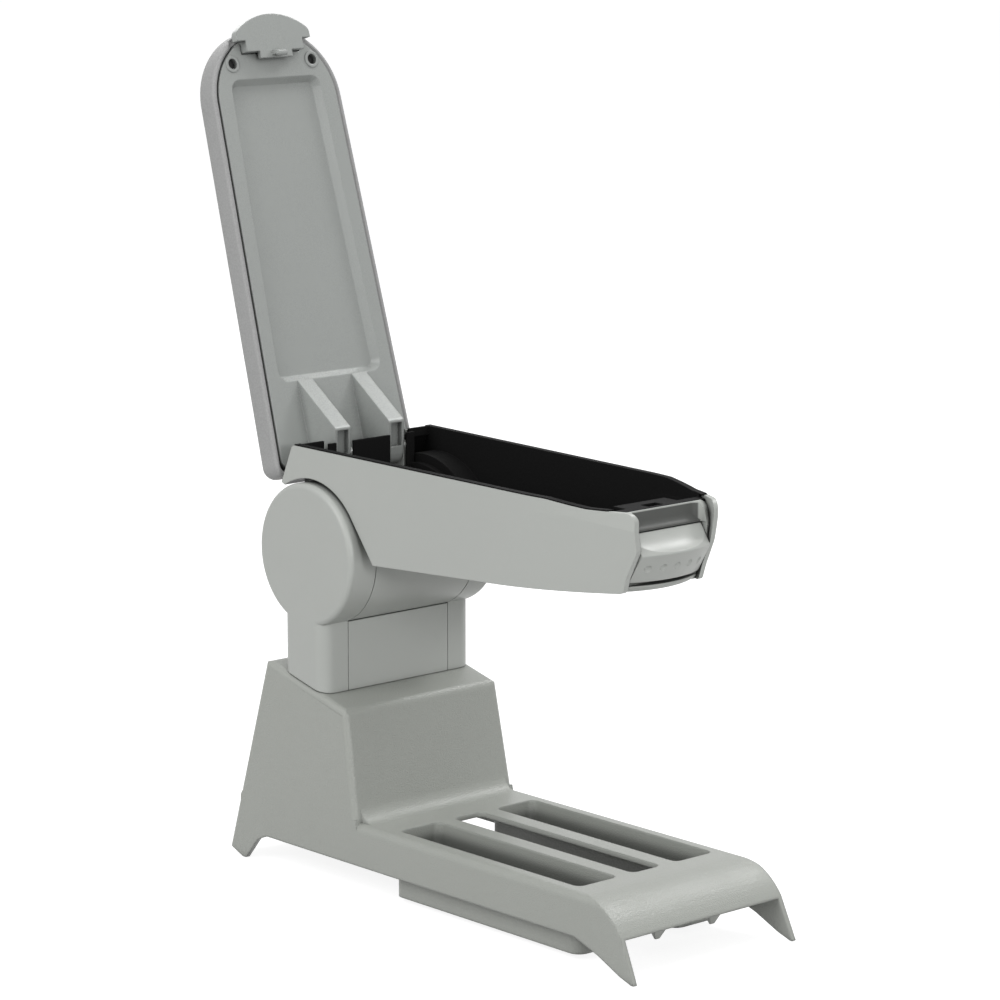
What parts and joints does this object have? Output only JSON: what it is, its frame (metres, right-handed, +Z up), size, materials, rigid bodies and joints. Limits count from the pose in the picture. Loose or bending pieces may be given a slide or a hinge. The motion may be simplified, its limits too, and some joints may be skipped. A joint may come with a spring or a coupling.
{
  "type": "car centre armrest",
  "caption": "Car centre armrest: slotted console base, short column and a tilting storage box with a padded hinged lid, shown open",
  "frame": {"origin": "On the floor plane that the four leg tips stand on, in the middle plane, right under the arm's tilt axis.", "axes": "+X forward, the way the arm points when it is down; +Y to the left; +Z up."},
  "size_m": [0.4196, 0.1306, 0.519],
  "materials": {
    "arm_plastic": "light grey moulded plastic with a fine grain, half matt",
    "base_plastic": "light grey moulded plastic with a fine grain, half matt",
    "lid_plastic": "light grey moulded plastic, smooth and half matt",
    "lid_cover": "light grey grained leathercloth over foam",
    "liner_black": "black, matt",
    "black_rubber": "black, matt",
    "screw_black": "black, half matt",
    "zinc_steel": "zinc plated"
  },
  "bodies": {
    "base": {"base_console": "base_plastic", "side_cover_left": "arm_plastic", "side_cover_right": "arm_plastic", "column_front_cover": "arm_plastic", "column_rear_cover": "arm_plastic", "steel_bracket": "zinc_steel", "bracket_bolts": "zinc_steel", "axle_bolt": "zinc_steel", "axle_nut": "zinc_steel", "friction_washers": "zinc_steel", "stop_pin": "zinc_steel", "rubber_stop": "black_rubber"},
    "arm": {"arm_shell": "arm_plastic", "box_liner": "liner_black", "nose_bezel": "arm_plastic", "lid_hinge_pin": "zinc_steel", "lever_pin": "zinc_steel"},
    "release_lever": {"release_lever": "arm_plastic"},
    "lid": {"lid_panel": "lid_plastic", "lid_pad": "lid_cover", "lid_screws": "screw_black", "latch_pin": "zinc_steel"},
    "lid_latch": {"lid_latch": "arm_plastic"}
  },
  "joints": [
    {"name": "arm_tilt", "type": "hinge", "parent": "base", "child": "arm", "pos_m": [0, 0, 0.2], "axis": [0, -1, 0], "range_deg": [0, 90]},
    {"name": "lid_hinge", "type": "hinge", "parent": "arm", "child": "lid", "pos_m": [-0.0176, 0, 0.252], "axis": [0, 1, 0], "range_deg": [0, 106.3]},
    {"name": "lid_latch_pivot", "type": "hinge", "parent": "lid", "child": "lid_latch", "pos_m": [-0.10789, 0, 0.49805], "axis": [0, -1, 0], "range_deg": [0, 12], "stiffness_Nm_per_rad": 0.05, "springref_deg": -8.59},
    {"name": "release_lever_pivot", "type": "hinge", "parent": "arm", "child": "release_lever", "pos_m": [0.2506, 0, 0.2405], "axis": [0, -1, 0], "range_deg": [0, 10], "stiffness_Nm_per_rad": 0.1, "springref_deg": -8.59}
  ]
}
